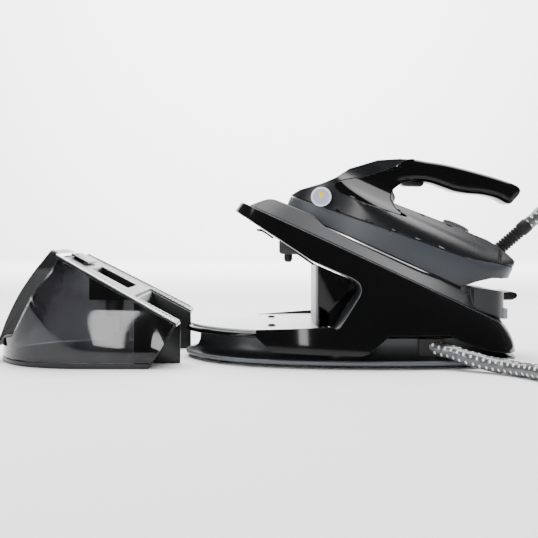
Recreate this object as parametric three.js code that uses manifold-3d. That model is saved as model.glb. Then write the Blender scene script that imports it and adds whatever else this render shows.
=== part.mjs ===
// Steam generator iron: a station with a lifted water tank beside it, and the iron on its rest.
// Millimetres, +Z up. The station's nose points to -X and its plane of symmetry is XZ.
import * as THREE from "three";
import { mergeVertices } from "three/addons/utils/BufferGeometryUtils.js";
import { ParametricGeometry } from "three/addons/geometries/ParametricGeometry.js";
import Module from "manifold-3d";

const wasm = await Module();
wasm.setup();
const { Manifold, Mesh: Raw } = wasm;

// ---- driving dimensions ----
const GAP = 0.3; // between pieces that touch
const WALL = 2.6; // casing wall
const FOOT_H = 4; // rubber feet below the base plate
const BASE_TOP = 9; // top of the base plate
const HOUSING_IN = 17; // the lower housing stands this far inside the base plate
const RIM_Z = [31.5, 37.5]; // black frame of the deck
const DECK_TOP = 40; // plate the tank stands on
const PILLAR_X = 56; // front of the central pillar
const PILLAR_HALF = 60; // half its width
const SEAM_Z0 = 167.2; // height of the casing's top seam at X = 0
const SEAM_SLOPE = 0.4706; // fall of that seam towards the rear
const IRON_AT = [18.6, 0, 175.9]; // nose of the iron on its rest
const IRON_TILT = 24.5; // degrees, nose up
const SOLE_Z = [-5, -1.2]; // soleplate, in the iron's own frame
const HANDLE_HALF = 16.5; // half the width of the iron's handle
const HOSE_D = 15; // steam hose
const TANK_AT = [-309, -5, 0]; // nose of the tank, standing beside the station
const TANK_TOP = [62, 127, 0.533]; // the tank's sloping top: start along it, height there, fall
const NOTCH = [158, 64]; // rear notch that clears the pillar: where it starts, half its width
const ORIGIN = [2.2, 0]; // centre of everything but the hose, in plan

const seam = (x) => SEAM_Z0 - SEAM_SLOPE * x;
const tankTop = (a) => TANK_TOP[1] - TANK_TOP[2] * (a - TANK_TOP[0]);
const rad = THREE.MathUtils.degToRad;
const v2 = (p) => new THREE.Vector2(p[0], p[1]);

// ---- solids ----
// A closed manifold from any closed three.js geometry, turned to face outwards.
function solid(geometry) {
  const g = geometry.clone();
  g.deleteAttribute("normal");
  g.deleteAttribute("uv");
  const m = mergeVertices(g, 1e-3);
  const index = [];
  for (let i = 0; i < m.index.count; i += 3) {
    const [a, b, c] = [0, 1, 2].map((k) => m.index.getX(i + k));
    if (a !== b && b !== c && a !== c) index.push(a, b, c);
  }
  const build = (triVerts) =>
    new Manifold(
      new Raw({
        numProp: 3,
        vertProperties: new Float32Array(m.attributes.position.array),
        triVerts: new Uint32Array(triVerts),
      }),
    );
  const made = build(index);
  if (made.volume() > 0) return made;
  for (let i = 0; i < index.length; i += 3)
    [index[i + 1], index[i + 2]] = [index[i + 2], index[i + 1]];
  return build(index);
}
const join = (first, ...rest) => rest.reduce((a, b) => a.add(b), first);
const cut = (first, ...rest) => rest.reduce((a, b) => a.subtract(b), first);
const meet = (first, ...rest) => rest.reduce((a, b) => a.intersect(b), first);

function shapeOf(points) {
  return new THREE.Shape(points.map(v2));
}
function extruded(points, depth) {
  return new THREE.ExtrudeGeometry(shapeOf(points), { depth, bevelEnabled: false });
}
// Side view in X and Z, from y0 to y1.
function side(points, y0, y1) {
  return solid(extruded(points, y1 - y0).rotateX(Math.PI / 2).translate(0, y1, 0));
}
// Plan view in X and Y, from z0 to z1.
function plan(points, z0, z1) {
  return solid(extruded(points, z1 - z0).translate(0, 0, z0));
}
// Section in Y and Z, from x0 to x1.
const TO_X = new THREE.Matrix4().makeBasis(
  new THREE.Vector3(0, 1, 0),
  new THREE.Vector3(0, 0, 1),
  new THREE.Vector3(1, 0, 0),
);
function section(points, x0, x1) {
  return solid(extruded(points, x1 - x0).applyMatrix4(TO_X).translate(x0, 0, 0));
}
function box(x0, x1, y0, y1, z0, z1) {
  return solid(
    new THREE.BoxGeometry(x1 - x0, y1 - y0, z1 - z0).translate((x0 + x1) / 2, (y0 + y1) / 2, (z0 + z1) / 2),
  );
}
// A turned piece: profile of [radius, height], closed on its axis, standing at a point along a direction.
function turned(profile, at = [0, 0, 0], along = [0, 0, 1], steps = 24) {
  const g = new THREE.LatheGeometry(profile.map(v2), steps).rotateX(Math.PI / 2);
  const q = new THREE.Quaternion().setFromUnitVectors(
    new THREE.Vector3(0, 0, 1),
    new THREE.Vector3(...along).normalize(),
  );
  return solid(g.applyQuaternion(q).translate(...at));
}
const rod = (r, l, at, along, steps = 20) =>
  turned([[0, 0], [r, 0], [r, l], [0, l]], at, along, steps);
function tube(points, r, steps, sides = 10) {
  const path = new THREE.CatmullRomCurve3(points.map((p) => new THREE.Vector3(...p)), false, "centripetal");
  const ring = new THREE.Shape(new THREE.EllipseCurve(0, 0, r, r, 0, 2 * Math.PI).getPoints(sides).slice(0, sides));
  return solid(new THREE.ExtrudeGeometry(ring, { steps, extrudePath: path, bevelEnabled: false }));
}

// ---- outlines ----
// Full loop from half a plan outline that starts and ends on the plane of symmetry.
const HALF_STEPS = 20;
function halfCurve(points) {
  const curve = new THREE.SplineCurve(points.map(v2));
  return curve.getPoints(HALF_STEPS);
}
function loop(points, inset = 0) {
  const half = halfCurve(points);
  const far = half.slice(1, -1).map((p) => new THREE.Vector2(p.x, -p.y));
  const all = [...half, ...far.reverse()];
  return all.map((p, i) => {
    const before = all[(i + all.length - 1) % all.length];
    const after = all[(i + 1) % all.length];
    const t = after.clone().sub(before).normalize();
    const turn = new THREE.Vector2(t.y, -t.x);
    if (Math.abs(p.y) < 1e-6) turn.set(i === 0 ? 1 : -1, 0);
    return [p.x + turn.x * inset, p.y + turn.y * inset];
  });
}
// A line of points thickened to one side into a closed outline.
function strip(points, thick) {
  const n = points.length;
  const other = points.map((p, i) => {
    const a = v2(points[Math.max(i - 1, 0)]);
    const b = v2(points[Math.min(i + 1, n - 1)]);
    const t = b.sub(a).normalize();
    return [p[0] - t.y * thick, p[1] + t.x * thick];
  });
  return [...points, ...other.reverse()];
}
const BASE_HALF = [
  [-99, 0], [-97, 16], [-90, 33], [-74, 57], [-48, 80], [-14, 98], [37, 112], [95, 118],
  [150, 118], [205, 113], [247, 102], [268, 84], [277, 58], [280, 28], [280, 0],
];
const TOP_HALF = [
  [-33, 0], [-32, 10], [-28, 20], [-18, 32], [5, 48], [35, 61], [75, 73], [120, 80],
  [165, 84], [205, 85], [243, 82], [260, 71], [268, 50], [271, 24], [272, 0],
];
// Outlines of the iron in its own frame: soleplate and skirt.
const SOLE_HALF = [
  [-1, 0], [3, 9], [14, 20], [36, 33], [70, 45], [110, 53], [150, 56.5], [190, 56.5],
  [211, 51], [219, 38], [221, 18], [221.6, 0],
];
const SKIRT_HALF = [
  [1, 0], [5, 9], [15, 21], [37, 35], [72, 48], [112, 56], [152, 59.5], [200, 60],
  [240, 56], [262, 45], [271, 28], [273.6, 12], [274, 0],
];
// The station's outer form: it rises from the base outline to the slanted seam, leaning in as it goes.
// It starts at zLow and ends `above` the seam.
const FORM_Z = 12;
function form(inset, zLow, above = 0) {
  const low = loop(BASE_HALF, inset);
  const high = loop(TOP_HALF, inset);
  const n = low.length;
  const at = (i, v) => {
    const k = Math.pow(Math.max(v, 0), 2);
    const x = low[i][0] + (high[i][0] - low[i][0]) * k;
    const y = low[i][1] + (high[i][1] - low[i][1]) * k;
    return new THREE.Vector3(x, y, FORM_Z + (seam(high[i][0]) - FORM_Z) * v);
  };
  const rings = [0, 0.15, 0.3, 0.45, 0.6, 0.75, 0.88].map((v) => low.map((_, i) => at(i, v)));
  if (zLow < FORM_Z) rings.unshift(low.map(([x, y]) => new THREE.Vector3(x, y, zLow)));
  rings.push(
    low.map((_, i) => {
      const p = at(i, 1 + above / (seam(high[i][0]) - FORM_Z));
      return p.setZ(seam(p.x) + above);
    }),
  );
  const centre = (ring) => ring.reduce((c, p) => c.addScaledVector(p, 1 / n), new THREE.Vector3());
  const ends = [centre(rings[0]), centre(rings[rings.length - 1])];
  const surface = (u, w, target) => {
    const j = Math.round(w * (rings.length + 1));
    if (j === 0 || j === rings.length + 1) return target.copy(ends[j ? 1 : 0]);
    return target.copy(rings[j - 1][Math.round(u * n) % n]);
  };
  return solid(new ParametricGeometry(surface, n, rings.length + 1));
}

// ---- meshes ----
const root = new THREE.Group();
root.name = "steam_generator_iron";
const iron = new THREE.Group();
iron.position.set(...IRON_AT);
iron.rotation.y = rad(IRON_TILT);
const tank = new THREE.Group();
tank.position.set(...TANK_AT);
root.add(iron, tank);

const LOOK = {
  slate: [0x3a3e46, 0.55], black: [0x0a0a0c, 0.15], rubber: [0x18181a, 0.85], silver: [0xc9c6c2, 0.35],
  pale: [0xe4e2df, 0.3], metal: [0xb8babd, 0.3], brass: [0xb08d3e, 0.35], smoke: [0x20242e, 0.1],
  grey: [0x9a9a98, 0.5], green: [0x1d5a36, 0.6], lens: [0xd8dce0, 0.1], hose: [0x3c3e42, 0.8],
};
function put(group, name, made, look, alpha = 1) {
  const raw = made.getMesh();
  const g = new THREE.BufferGeometry()
    .setAttribute("position", new THREE.BufferAttribute(raw.vertProperties, raw.numProp))
    .setIndex(new THREE.BufferAttribute(raw.triVerts, 1));
  g.computeVertexNormals();
  const [color, roughness] = LOOK[look];
  const metalness = ["metal", "brass", "silver"].includes(look) ? 1 : 0;
  const material = new THREE.MeshStandardMaterial({
    color, roughness, metalness, opacity: alpha, transparent: alpha < 1, flatShading: true,
  });
  const mesh = new THREE.Mesh(g, material);
  mesh.name = name;
  group.add(mesh);
}

// Centre line of the hose from the station's outlet to its coil on the floor.
const HOSE_R = HOSE_D / 2;
const RUN = [
  [176, -97.5, 22.4], [183, -103, 20.2], [194, -111, 18], [208, -122.5, 14.2], [221, -131, 11], [239, -143, 8.2],
  [257, -168, HOSE_R], [272, -196, HOSE_R], [290, -218, HOSE_R], [312, -231, HOSE_R],
];

// ---- station: base and deck ----
const base = join(
  plan(loop(BASE_HALF, 1.5), FOOT_H, FOOT_H + 1.5),
  plan(loop(BASE_HALF), FOOT_H + 1.5, BASE_TOP - 1.5),
  plan(loop(BASE_HALF, 2), BASE_TOP - 1.5, BASE_TOP),
);
const FEET = [[-45, -52], [-45, 52], [225, -78], [225, 78]];
put(root, "base_plate", cut(base, ...FEET.map(([x, y]) => rod(5, 3, [x, y, FOOT_H - 1]))), "slate");
FEET.forEach(([x, y], i) => {
  const foot = [[0, 0], [10, 0], [11, 1], [11, FOOT_H - GAP], [4.7, FOOT_H - GAP], [4.7, 5.5], [0, 5.5]];
  put(root, "foot_" + (i + 1), turned(foot, [x, y, 0], [0, 0, 1], 20), "rubber");
});

const HOUSE_Z = [BASE_TOP + GAP, RIM_Z[0] - GAP];
const housing = cut(
  join(
    plan(loop(BASE_HALF, HOUSING_IN - 9), HOUSE_Z[0], HOUSE_Z[0] + 2),
    plan(loop(BASE_HALF, HOUSING_IN - 4), HOUSE_Z[0] + 2, HOUSE_Z[0] + 5),
    plan(loop(BASE_HALF, HOUSING_IN), HOUSE_Z[0] + 5, HOUSE_Z[1]),
  ),
  plan(loop(BASE_HALF, HOUSING_IN + WALL), HOUSE_Z[0] + 3, 60),
  box(160.7, 189.3, -104.2, -90, 12.7, 60),
  tube(RUN, HOSE_R + 0.7, 26, 10),
  section([[-17, 16], [17, 16], [17, 60], [-17, 60]], 255, 285),
);
put(root, "lower_housing", housing, "slate");

const RIM_CUT = -14.3; // the deck's frame is bare in front of this, and inside the casing behind it
const rimAt = (inset, z0, z1) => plan(loop(BASE_HALF, inset), z0, z1);
const rim = cut(
  join(
    meet(join(rimAt(1, RIM_Z[0], 34), rimAt(2.2, 34, RIM_Z[1])), box(-110, RIM_CUT, -130, 130, 0, 60)),
    meet(rimAt(WALL + 3.6, RIM_Z[0], RIM_Z[1]), box(-60, 70.5, -130, 130, 0, 60)),
  ),
  meet(rimAt(12, 0, RIM_Z[0] + 3.5), box(-110, 66, -130, 130, 0, 60)),
  rod(2, 20, [3, -52, 25]),
  rod(2, 20, [3, 52, 25]),
);
put(root, "deck_frame", rim, "black");
const plate = meet(rimAt(7.5, RIM_Z[1] + GAP, DECK_TOP), box(-110, PILLAR_X - 1, -130, 130, 0, 60));
put(root, "deck_plate", cut(plate, rod(2, 20, [3, -52, 25]), rod(2, 20, [3, 52, 25])), "pale");
[-52, 52].forEach((y, i) => {
  const stud = [[0, 35], [1.7, 35], [1.7, DECK_TOP + GAP], [5, DECK_TOP + GAP], [3.4, 42.2], [0, 42.2]];
  put(root, "deck_stud_" + (i + 1), turned(stud, [3, y, 0], [0, 0, 1], 8), "rubber");
});

// ---- station: casing ----
const BAY_EDGE = [[-34, 168.4], [52, 111.5], [91, 94.5], [97, 90], [99, 83.5], [97.5, 77.5], [72, 40.2]];
const SKIN = [
  ...BAY_EDGE, [-14, 40.2], [-14, 32], [3, 16.5], [98, 14], [106, 17], [128, 35.5], [191, 35.5],
  [234, 19], [262, 14], [300, 14], [300, 230], [-60, 230], [-60, 185.6],
];
const outer = form(0, 12);
const inner = form(WALL, 6, 20);
const shell = cut(meet(outer, side(SKIN, -130, 130)), inner);
const halves = { near: box(-120, 300, -130, -GAP / 2, 0, 230), far: box(-120, 300, GAP / 2, 130, 0, 230) };
const inletHole = rod(9, 60, [240, 0, 26], [1, 0, 0]);
put(root, "casing_near", meet(cut(shell, inletHole), halves.near), "black");
put(root, "casing_far", meet(cut(shell, inletHole), halves.far), "black");

// Liner of the tank's bay: underside of the head, then the wall behind the tank.
const linerLine = [[-27, 165], ...BAY_EDGE.slice(1).map(([x, z]) => [x + 0.2, z + 0.2])];
linerLine[linerLine.length - 1][1] = 40.5;
const liner = meet(side(strip(linerLine, 2.4), -130, 130), form(WALL + GAP, 12, 20));
put(root, "bay_liner", liner, "black");

const under = (x) => 168.4 - 0.6616 * (x + 34); // underside of the head
const pillarLine = [
  [PILLAR_X, 40.4], [70.8, 40.4], [96.2, 77.8], [97.6, 83.4], [96, 88.6], [91, 93.2], [56, 108.2],
];
const pillar = cut(
  side(pillarLine, -PILLAR_HALF, PILLAR_HALF),
  side([[59, 44], [150, 44], [150, 84], [91, 84], [59, 98]], 3 - PILLAR_HALF, PILLAR_HALF - 3),
);
put(root, "pillar", pillar, "black");
put(root, "pillar_front", box(52.8, PILLAR_X - GAP, -52, 52, 40.4, 109), "pale");

const block = side(
  [[12, under(12) - 0.8], [12, 123], [14, 121], [33, 120.5], [52.3, 107.5], [52.3, under(52.3) - 0.8]], -27, 27,
);
put(root, "coupling_block", block, "black");
const SPOUT = [[0, 0], [3, 0], [5, 3], [5, 9.4], [0, 9.4]];
put(root, "intake_spout", turned(SPOUT, [23, 0, 111], [0, 0, 1], 16), "rubber");
const LATCH = [
  [-15, 149], [-15, 151], [-9, 151.2], [-5, 148.8], [3, 143.2], [6, 140.4], [4, 139.4], [-3, 144.6], [-8, 147.8],
];
put(root, "tank_latch", side(LATCH.map(([x, z]) => [x, z - 0.5]), -9, 9), "black");

// ---- station: rest for the iron ----
const TRAY_TOP = [
  [-40, 170], [-23, 178], [1.7, 187], [52, 165], [61.5, 153.5], [82.4, 141.5], [166.7, 101.8],
  [200.5, 89.5], [262, 80], [270.5, 52], [271, 38],
];
const traySide = side([...TRAY_TOP, [271, 20], [-40, 130]], -130, 130);
// The tray's rear corner stands straight up from the seam, round the lever's slot.
const REAR = [[226, 62], [226, 85.5], [262, 80], [268.5, 76], [270.5, 56], [268.5, 47], [226, 62]];
const trayRear = meet(plan(loop(TOP_HALF, 1.2), 40, 90), side(REAR.slice(0, -1), -80, 80));
const trayOuter = cut(join(meet(form(0.6, 12, 30), traySide), trayRear), form(-6, 6, GAP));
const rest = new THREE.Group();
rest.position.copy(iron.position);
rest.rotation.copy(iron.rotation);
rest.updateMatrix();
root.add(rest);
const REST_Z = SOLE_Z[0] - 1.5; // top of the rest plate, below the soleplate by the pads' height
const inRest = (geometry) => solid(geometry.translate(0, 0, REST_Z - 2.3).applyMatrix4(rest.matrix));
const cavity = meet(
  inRest(extruded(loop(SKIRT_HALF, -6), 90)),
  inRest(new THREE.BoxGeometry(250, 150, 200).translate(229 - 125, 0, 0)),
);
const LEVER_PIN = [266, 0, 71];
const ear = (y) => join(box(252, 266, y - 1.8, y + 1.8, 66, 76), rod(5, 3.6, [266, y + 1.8, 71], [0, -1, 0]));
const leverSlot = box(258, 300, -24.8, 24.8, 61, 100);
const keyBox = (grow, x1) => box(257 - grow, x1, -64 - grow, -57 + grow, 49 - grow, 61 + grow);
const pinHole = (r) => rod(r, 70, [LEVER_PIN[0], 35, LEVER_PIN[2]], [0, -1, 0]);
const tray = cut(
  join(trayOuter, ear(-27), ear(27)),
  cavity, leverSlot, keyBox(GAP, 290), box(254.2, 260, -64.3, -56.7, 48.7, 61.3), pinHole(2.1),
);
put(root, "tray", tray, "slate");
const restPlate = meet(plan(loop(SKIRT_HALF, -5.5), REST_Z - 2, REST_Z), box(-20, 228.5, -80, 80, -20, 0));
const PADS = [[30, 0], [175, -32], [175, 32]];
put(rest, "rest_plate", cut(restPlate, ...PADS.map(([x, y]) => rod(5, 9, [x, y, REST_Z - 5]))), "silver");
PADS.forEach(([x, y], i) => {
  const pad = [[0, REST_Z - 2], [4.7, REST_Z - 2], [4.7, REST_Z + GAP], [7, REST_Z + GAP], [6, -5.3], [0, -5.3]];
  put(rest, "rest_pad_" + (i + 1), turned(pad, [x, y, 0], [0, 0, 1], 16), "rubber");
});
const lever = join(
  rod(4.6, 49, [LEVER_PIN[0], 24.5, LEVER_PIN[2]], [0, -1, 0]),
  side([[267, 67], [284, 67.4], [289, 69.5], [290.5, 72.5], [289, 75.6], [284, 77], [268, 75.4]], -24.5, 24.5),
);
put(root, "lock_lever", cut(lever, pinHole(2.1)), "black");
put(root, "lever_pin", rod(2, 57, [LEVER_PIN[0], 28.5, LEVER_PIN[2]], [0, -1, 0]), "metal");
put(root, "power_key", keyBox(0, 267.5), "grey");

// ---- station: inside ----
put(root, "boiler", turned(
  [[0, 0], [30, 0], [33, 3], [33, 44], [35, 45], [35, 47], [33, 48], [33, 89], [30, 92], [0, 92]],
  [150, -22, 48.5], [0, 1, 0], 28), "metal");
put(root, "boiler_thermostat", rod(8, 5, [150, 20, 83.8], [0, 0, 1]), "metal");
const pumpBody = join(box(112, 142, -72, -40, 14, 40), rod(4, 12, [127, -56, 38], [0, 0, 1], 12));
put(root, "pump", pumpBody, "grey");
const valveBody = join(box(196, 224, -24, 6, 14, 40), rod(9, 12, [210, -9, 38], [0, 0, 1], 16));
put(root, "steam_valve", valveBody, "brass");
put(root, "steam_pipe", tube([[192, -20, 26], [184, -40, 28], [175, -64, 25], [174, -88, 24]], 3.5, 14, 8), "metal");
put(root, "circuit_board", box(240, 241.6, -48, 40, 20, 42), "green");
const gland = cut(box(161, 189, -103.9, -92, 13, 31), tube(RUN, HOSE_R + 0.5, 26, 10));
put(root, "hose_outlet", gland, "rubber");
const INLET = [[0, 0], [8.5, 0], [8.5, 12], [11, 12.5], [10.4, 15], [0, 15]];
put(root, "mains_inlet", turned(INLET, [268, 0, 26], [1, 0, 0], 18), "rubber");

// ---- iron ----
const SECTION = [
  [-60, -10], [60, -10], [60, 20], [57, 32], [48, 44], [34, 55], [22, 70], [HANDLE_HALF, 84],
  [HANDLE_HALF, 128], [11, 142], [-11, 142], [-HANDLE_HALF, 128], [-HANDLE_HALF, 84],
  [-22, 70], [-34, 55], [-48, 44], [-57, 32], [-60, 20],
];
const narrowed = (points, by) => points.map(([y, z]) => [y - Math.sign(y) * by, z]);
const body = (grow) =>
  meet(plan(loop(SKIRT_HALF, grow), -10, 150), section(narrowed(SECTION, grow), -10, 290));
const soleSide = side([[-5, -6], [240, -6], [240, 0], [2, 0], [-2, -3]], -70, 70);
const soleplate = meet(plan(loop(SOLE_HALF), ...SOLE_Z), soleSide);
put(iron, "soleplate", soleplate, "metal");
const castingPlan = loop(SOLE_HALF, 8);
const casting = join(
  plan(castingPlan, SOLE_Z[1] + GAP, 5),
  meet(plan(castingPlan, 4, 12), box(40, 205, -44, 44, 4, 12)),
);
put(iron, "heater_casting", cut(casting, box(60, 160, -20, 20, 7, 30)), "metal");
const skirtSide = [
  [2, -0.9], [218, -0.9], [233.5, 12.8], [247.3, 22.8], [274, 34.9], [274, 47], [265, 44.6],
  [205, 30], [137, 25.2], [47, 18], [13, 16.4],
];
const skirt = cut(
  meet(body(0), side(skirtSide, -70, 70)),
  meet(plan(loop(SOLE_HALF, 5.5), -10, 60), side([[0, -9], [215, -9], [236, 19], [236, 50], [0, 50]], -70, 70)),
);
put(iron, "skirt", skirt, "slate");

const HANDLE = [
  [52, 35], [68.7, 65.8], [83.3, 82.7], [100, 99], [110, 113], [132, 120], [154.3, 126.1], [188.2, 132.3],
  [222.6, 137.1], [241, 137.4], [246.5, 132], [244.3, 122.1], [239.7, 113.7], [224.2, 113.9], [207.2, 110.8],
  [189.8, 104.7], [175.1, 100.8], [162.7, 99.7], [140.3, 96.8], [117.5, 86.4], [110.5, 77.6], [106.7, 69.6],
  [106.8, 61.3], [110, 56.5], [107, 50], [100, 34.5],
];
const TRIGGER = [[113.5, 83.2], [118.5, 82.4], [138, 90.6], [139, 94], [137.5, 99.5], [116, 90.5]];
const TRIGGER_AXIS = [-0.38, 0.925]; // press, in X and Z of the iron's frame
const pressed = (d) => TRIGGER.map(([x, z]) => [x + TRIGGER_AXIS[0] * d, z + TRIGGER_AXIS[1] * d]);
const pocketLine = [
  [112.6, 80], [118, 80], [139.6, 89.6], [140.4, 94], [137.6, 104.4], [113.6, 95.4], [111.6, 86],
];
const handle = cut(
  meet(body(0), side(HANDLE, -30, 30)),
  side(pocketLine, -8.4, 8.4),
);
put(iron, "handle", handle, "black");
put(iron, "steam_trigger", side(TRIGGER, -8, 8), "black");

const grown = [
  [53, 31], [47.5, 34], [66, 67.4], [81.6, 85], [98.6, 101.2], [108.4, 114.6], [118, 130], [200, 150],
  [140, 84], [112, 60], [115, 57.5], [110, 48], [104, 31],
];
const topSide = [
  [13.3, 17], [47, 18.7], [137, 26], [205, 30.7], [247, 41], [247, 60.4], [230.9, 62.9], [180.4, 61], [127.2, 57.3],
  [113, 56.4], [106, 75], [112, 113.4], [98.5, 108], [76.3, 96.1], [50.2, 73.1], [38.7, 54.5], [27.4, 42.6],
];
const HOLLOW = [
  [34, 15], [44, 34], [50, 30], [106, 30], [118, 52], [127, 53.5], [180, 57.2], [243, 58], [243, 35],
  [205, 28], [40, 14],
];
const hollow = meet(
  plan(loop(SKIRT_HALF, 9), -10, 150),
  side(HOLLOW, -70, 70),
  section(narrowed(SECTION, 4).map(([y, z]) => [y, z - 2.5]), -10, 290),
);
// Ribbed boot where the hose enters the heel.
const BOOT = [253, 0, 58.7];
const BOOT_TILT = rad(65.5);
const BOOT_DIR = [Math.cos(BOOT_TILT), 0, Math.sin(BOOT_TILT)];
const bootFrom = (d) => BOOT.map((c, i) => c + BOOT_DIR[i] * d);
const ribs = [[0, 0], [8.8, 0], [8.8, 5], [6.6, 5.4]];
for (let i = 0; i < 5; i++) ribs.push([6.7, 8.5 + i * 6], [8, 9 + i * 6], [8, 12.5 + i * 6], [6.7, 13 + i * 6]);
ribs.push([8.4, 40.5], [8.4, 52], [0, 52]);
const bootHole = rod(9.1, 40, bootFrom(-2 - GAP), BOOT_DIR);
put(iron, "hose_boot", turned(ribs, bootFrom(-2), BOOT_DIR, 20), "rubber");

const DIAL_AT = [196, 0, 61.6];
const LAMP_AT = [152, 0, 59];
const upper = cut(
  meet(body(0), side(topSide, -70, 70)),
  side(grown, -30.4, 30.4),
  hollow,
  rod(9.2, 30, [DIAL_AT[0], 0, 50]),
  rod(3.2, 30, [LAMP_AT[0], 0, 50]),
  bootHole,
);
put(iron, "upper_body", upper, "slate");
const DIAL = [[0, 0], [9, 0], [9, 2.4], [16, 2.6], [16, 5.6], [14.5, 7.4], [0, 7.4]];
put(iron, "temperature_dial", turned(DIAL, [DIAL_AT[0], 0, 60.4], [0, 0, 1], 24), "black");
const LAMP = [[0, 0], [2.9, 0], [2.9, 4], [2.4, 5.6], [0, 6.2]];
put(iron, "iron_lamp", turned(LAMP, [LAMP_AT[0], 0, 55], [0, 0, 1], 14), "lens");
const heel = cut(
  meet(body(0), side([[247.4, 41.6], [265, 45.4], [274, 47.8], [272, 49.5], [259.6, 56.5], [247.4, 60.2]], -70, 70)),
  meet(
    plan(loop(SKIRT_HALF, 8), -10, 150),
    side([[246, 39], [262, 45], [262, 51.5], [246, 57]], -70, 70),
  ),
  bootHole,
);
put(iron, "heel_cover", heel, "black");
put(iron, "badge", rod(11.6, 1.2, [33, -43.5, 27], [-0.2, -0.97, 0.2], 24), "pale");
// ---- water tank ----
const TANK_HALF = [
  [-3, 0], [-1.5, 18], [5, 42], [17, 64], [34, 82], [58, 96], [92, 105], [135, 108], [180, 108],
  [212, 105], [213, 40], [213.5, 0],
];
const TANK_SECTION = [
  [-108, -1], [108, -1], [107.5, 20], [101, 55], [89, 90], [76, 118], [70, 136],
  [-70, 136], [-76, 118], [-89, 90], [-101, 55], [-107.5, 20],
];
const tankForm = (inset) =>
  meet(plan(loop(TANK_HALF, inset), -1, 140), section(narrowed(TANK_SECTION, inset), -20, 230));
const topLine = (a0, a1, dz) => [[a0, tankTop(a0) + dz], [a1, tankTop(a1) + dz]];
const notch = (grow) => box(NOTCH[0] - grow, 260, -NOTCH[1] - grow, NOTCH[1] + grow, -5, 200);
const tankBase = meet(tankForm(0), side([[-10, 0], [180, 0], [183.6, 5.6], [-10, 5.6]], -120, 120));
put(tank, "tank_base", cut(tankBase, notch(0)), "smoke");
const shellLine = [
  [1.5, 6], [3, 16], [10, 27], [24.8, 30.5], [39, 55], [53.5, 80], [70, 103.5], [77, tankTop(77) - 2.4],
  [210.6, tankTop(210.6) - 2.4], [184.2, 6],
];
const shellIn = [
  [5, 4], [6, 14], [13, 25], [27, 29], [41, 53.5], [55.7, 78.6], [72, 102], [78, 140], [195, 140],
  [207.6, 46.8], [182, 4],
];
const tankShell = cut(
  meet(tankForm(0.5), side(shellLine, -120, 120)),
  meet(tankForm(3), side(shellIn, -120, 120)),
  notch(0),
);
put(tank, "tank_shell", tankShell, "smoke", 0.45);
const REAR_Z = [0, 36]; // the liner stands on the floor with the base
const notchLiner = cut(
  box(NOTCH[0] + GAP, 210, GAP - NOTCH[1], NOTCH[1] - GAP, REAR_Z[0], 130),
  box(NOTCH[0] + 2.8, 260, 2.8 - NOTCH[1], NOTCH[1] - 2.8, 0, 200),
  side([[140, tankTop(140) - 2.6], [260, tankTop(260) - 2.6], [260, 200], [140, 200]], -90, 90),
);
put(tank, "tank_notch_liner", notchLiner, "black");
// Cover: a sloping plate under the top line, with a well for the station's coupling block.
const WELL = [104, 146, 31]; // start, end and half width
const coverLine = [
  ...topLine(74, 209.6, 0), [209.6, tankTop(209.6) - 2.2], [78.6, tankTop(78.6) - 2.2], [74, tankTop(74) - 2.2],
];
const wellBox = (grow, z0) => box(WELL[0] - grow, WELL[1] + grow, -WELL[2] - grow, WELL[2] + grow, z0, 150);
const LID = [77.6, 97, 24];
const lidHole = (grow) => box(LID[0] - grow, LID[1] + grow, -LID[2] - grow, LID[2] + grow, 90, 150);
const cover = cut(
  join(
    meet(tankForm(1), side(coverLine, -120, 120)),
    meet(wellBox(2.2, 68), side([[60, 20], [60, tankTop(60) - 1], [204, tankTop(204) - 1], [204, 20]], -120, 120)),
  ),
  wellBox(0, 70.2),
  notch(0),
  lidHole(-2.6),
  rod(5.4, 20, [125, 0, 60], [0, 0, 1]),
);
put(tank, "tank_cover", cover, "black");
// Bright trim along the cover's two long edges and across the front.
const trimLine = [...topLine(74, 207, GAP), ...topLine(207, 74, 1.7)];
const trim = cut(
  meet(tankForm(0.3), side(trimLine, -120, 120)),
  meet(tankForm(4), box(78.6, 300, -120, 120, 0, 200)),
);
put(tank, "tank_trim", trim, "silver");
const lid = join(
    side([...topLine(79.4, 99, 2.1), ...topLine(99, 79.4, 4.4)], -26.5, 26.5),
    side([...topLine(82.2, 93.8, 3), ...topLine(93.8, 82.2, -3)], -21, 21),
);
put(tank, "filler_lid", lid, "slate");

const HANDLE_OUT = [[-1.5, 16], [3.7, 27], [12.2, 49.1], [25.2, 75.5], [39.6, 97.6], [54, 118.2], [59, 126.6]];
const HANDLE_IN = [
  [73, 119.9], [75.4, 114.6], [71.9, 108.2], [68.6, 109.2], [44.4, 79.3], [31, 55], [22.5, 33.5],
  [8.4, 28.6], [0.5, 16.4],
];
const ARCH = [[-50, 0], [50, 0], [50, 104], [38, 128], [-38, 128], [-50, 104]];
const handleArch = meet(
  side([...HANDLE_OUT, ...HANDLE_IN], -60, 60),
  section(ARCH, -20, 100),
);
put(tank, "tank_handle", handleArch, "black");
const VALVE_AT = [125, 0];
const PLUNGER = [[0, 61.5], [7, 61.5], [7, 66.5], [4.8, 67.2], [4.8, 74], [3, 76], [0, 76]];
put(tank, "valve_plunger", turned(PLUNGER, [...VALVE_AT, 0], [0, 0, 1], 18), "brass");
put(tank, "valve_cage", turned(
  [[0, 47], [10.5, 47], [10.5, 67.6], [8, 67.6], [8, 49], [0, 49]], [...VALVE_AT, 0], [0, 0, 1], 18), "grey");
class Helix extends THREE.Curve {
  constructor(r, z0, z1, turns) {
    super();
    Object.assign(this, { r, z0, z1, turns });
  }
  getPoint(t, target = new THREE.Vector3()) {
    const a = t * this.turns * 2 * Math.PI;
    const z = this.z0 + (this.z1 - this.z0) * t;
    return target.set(VALVE_AT[0] + this.r * Math.cos(a), VALVE_AT[1] + this.r * Math.sin(a), z);
  }
}
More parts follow.
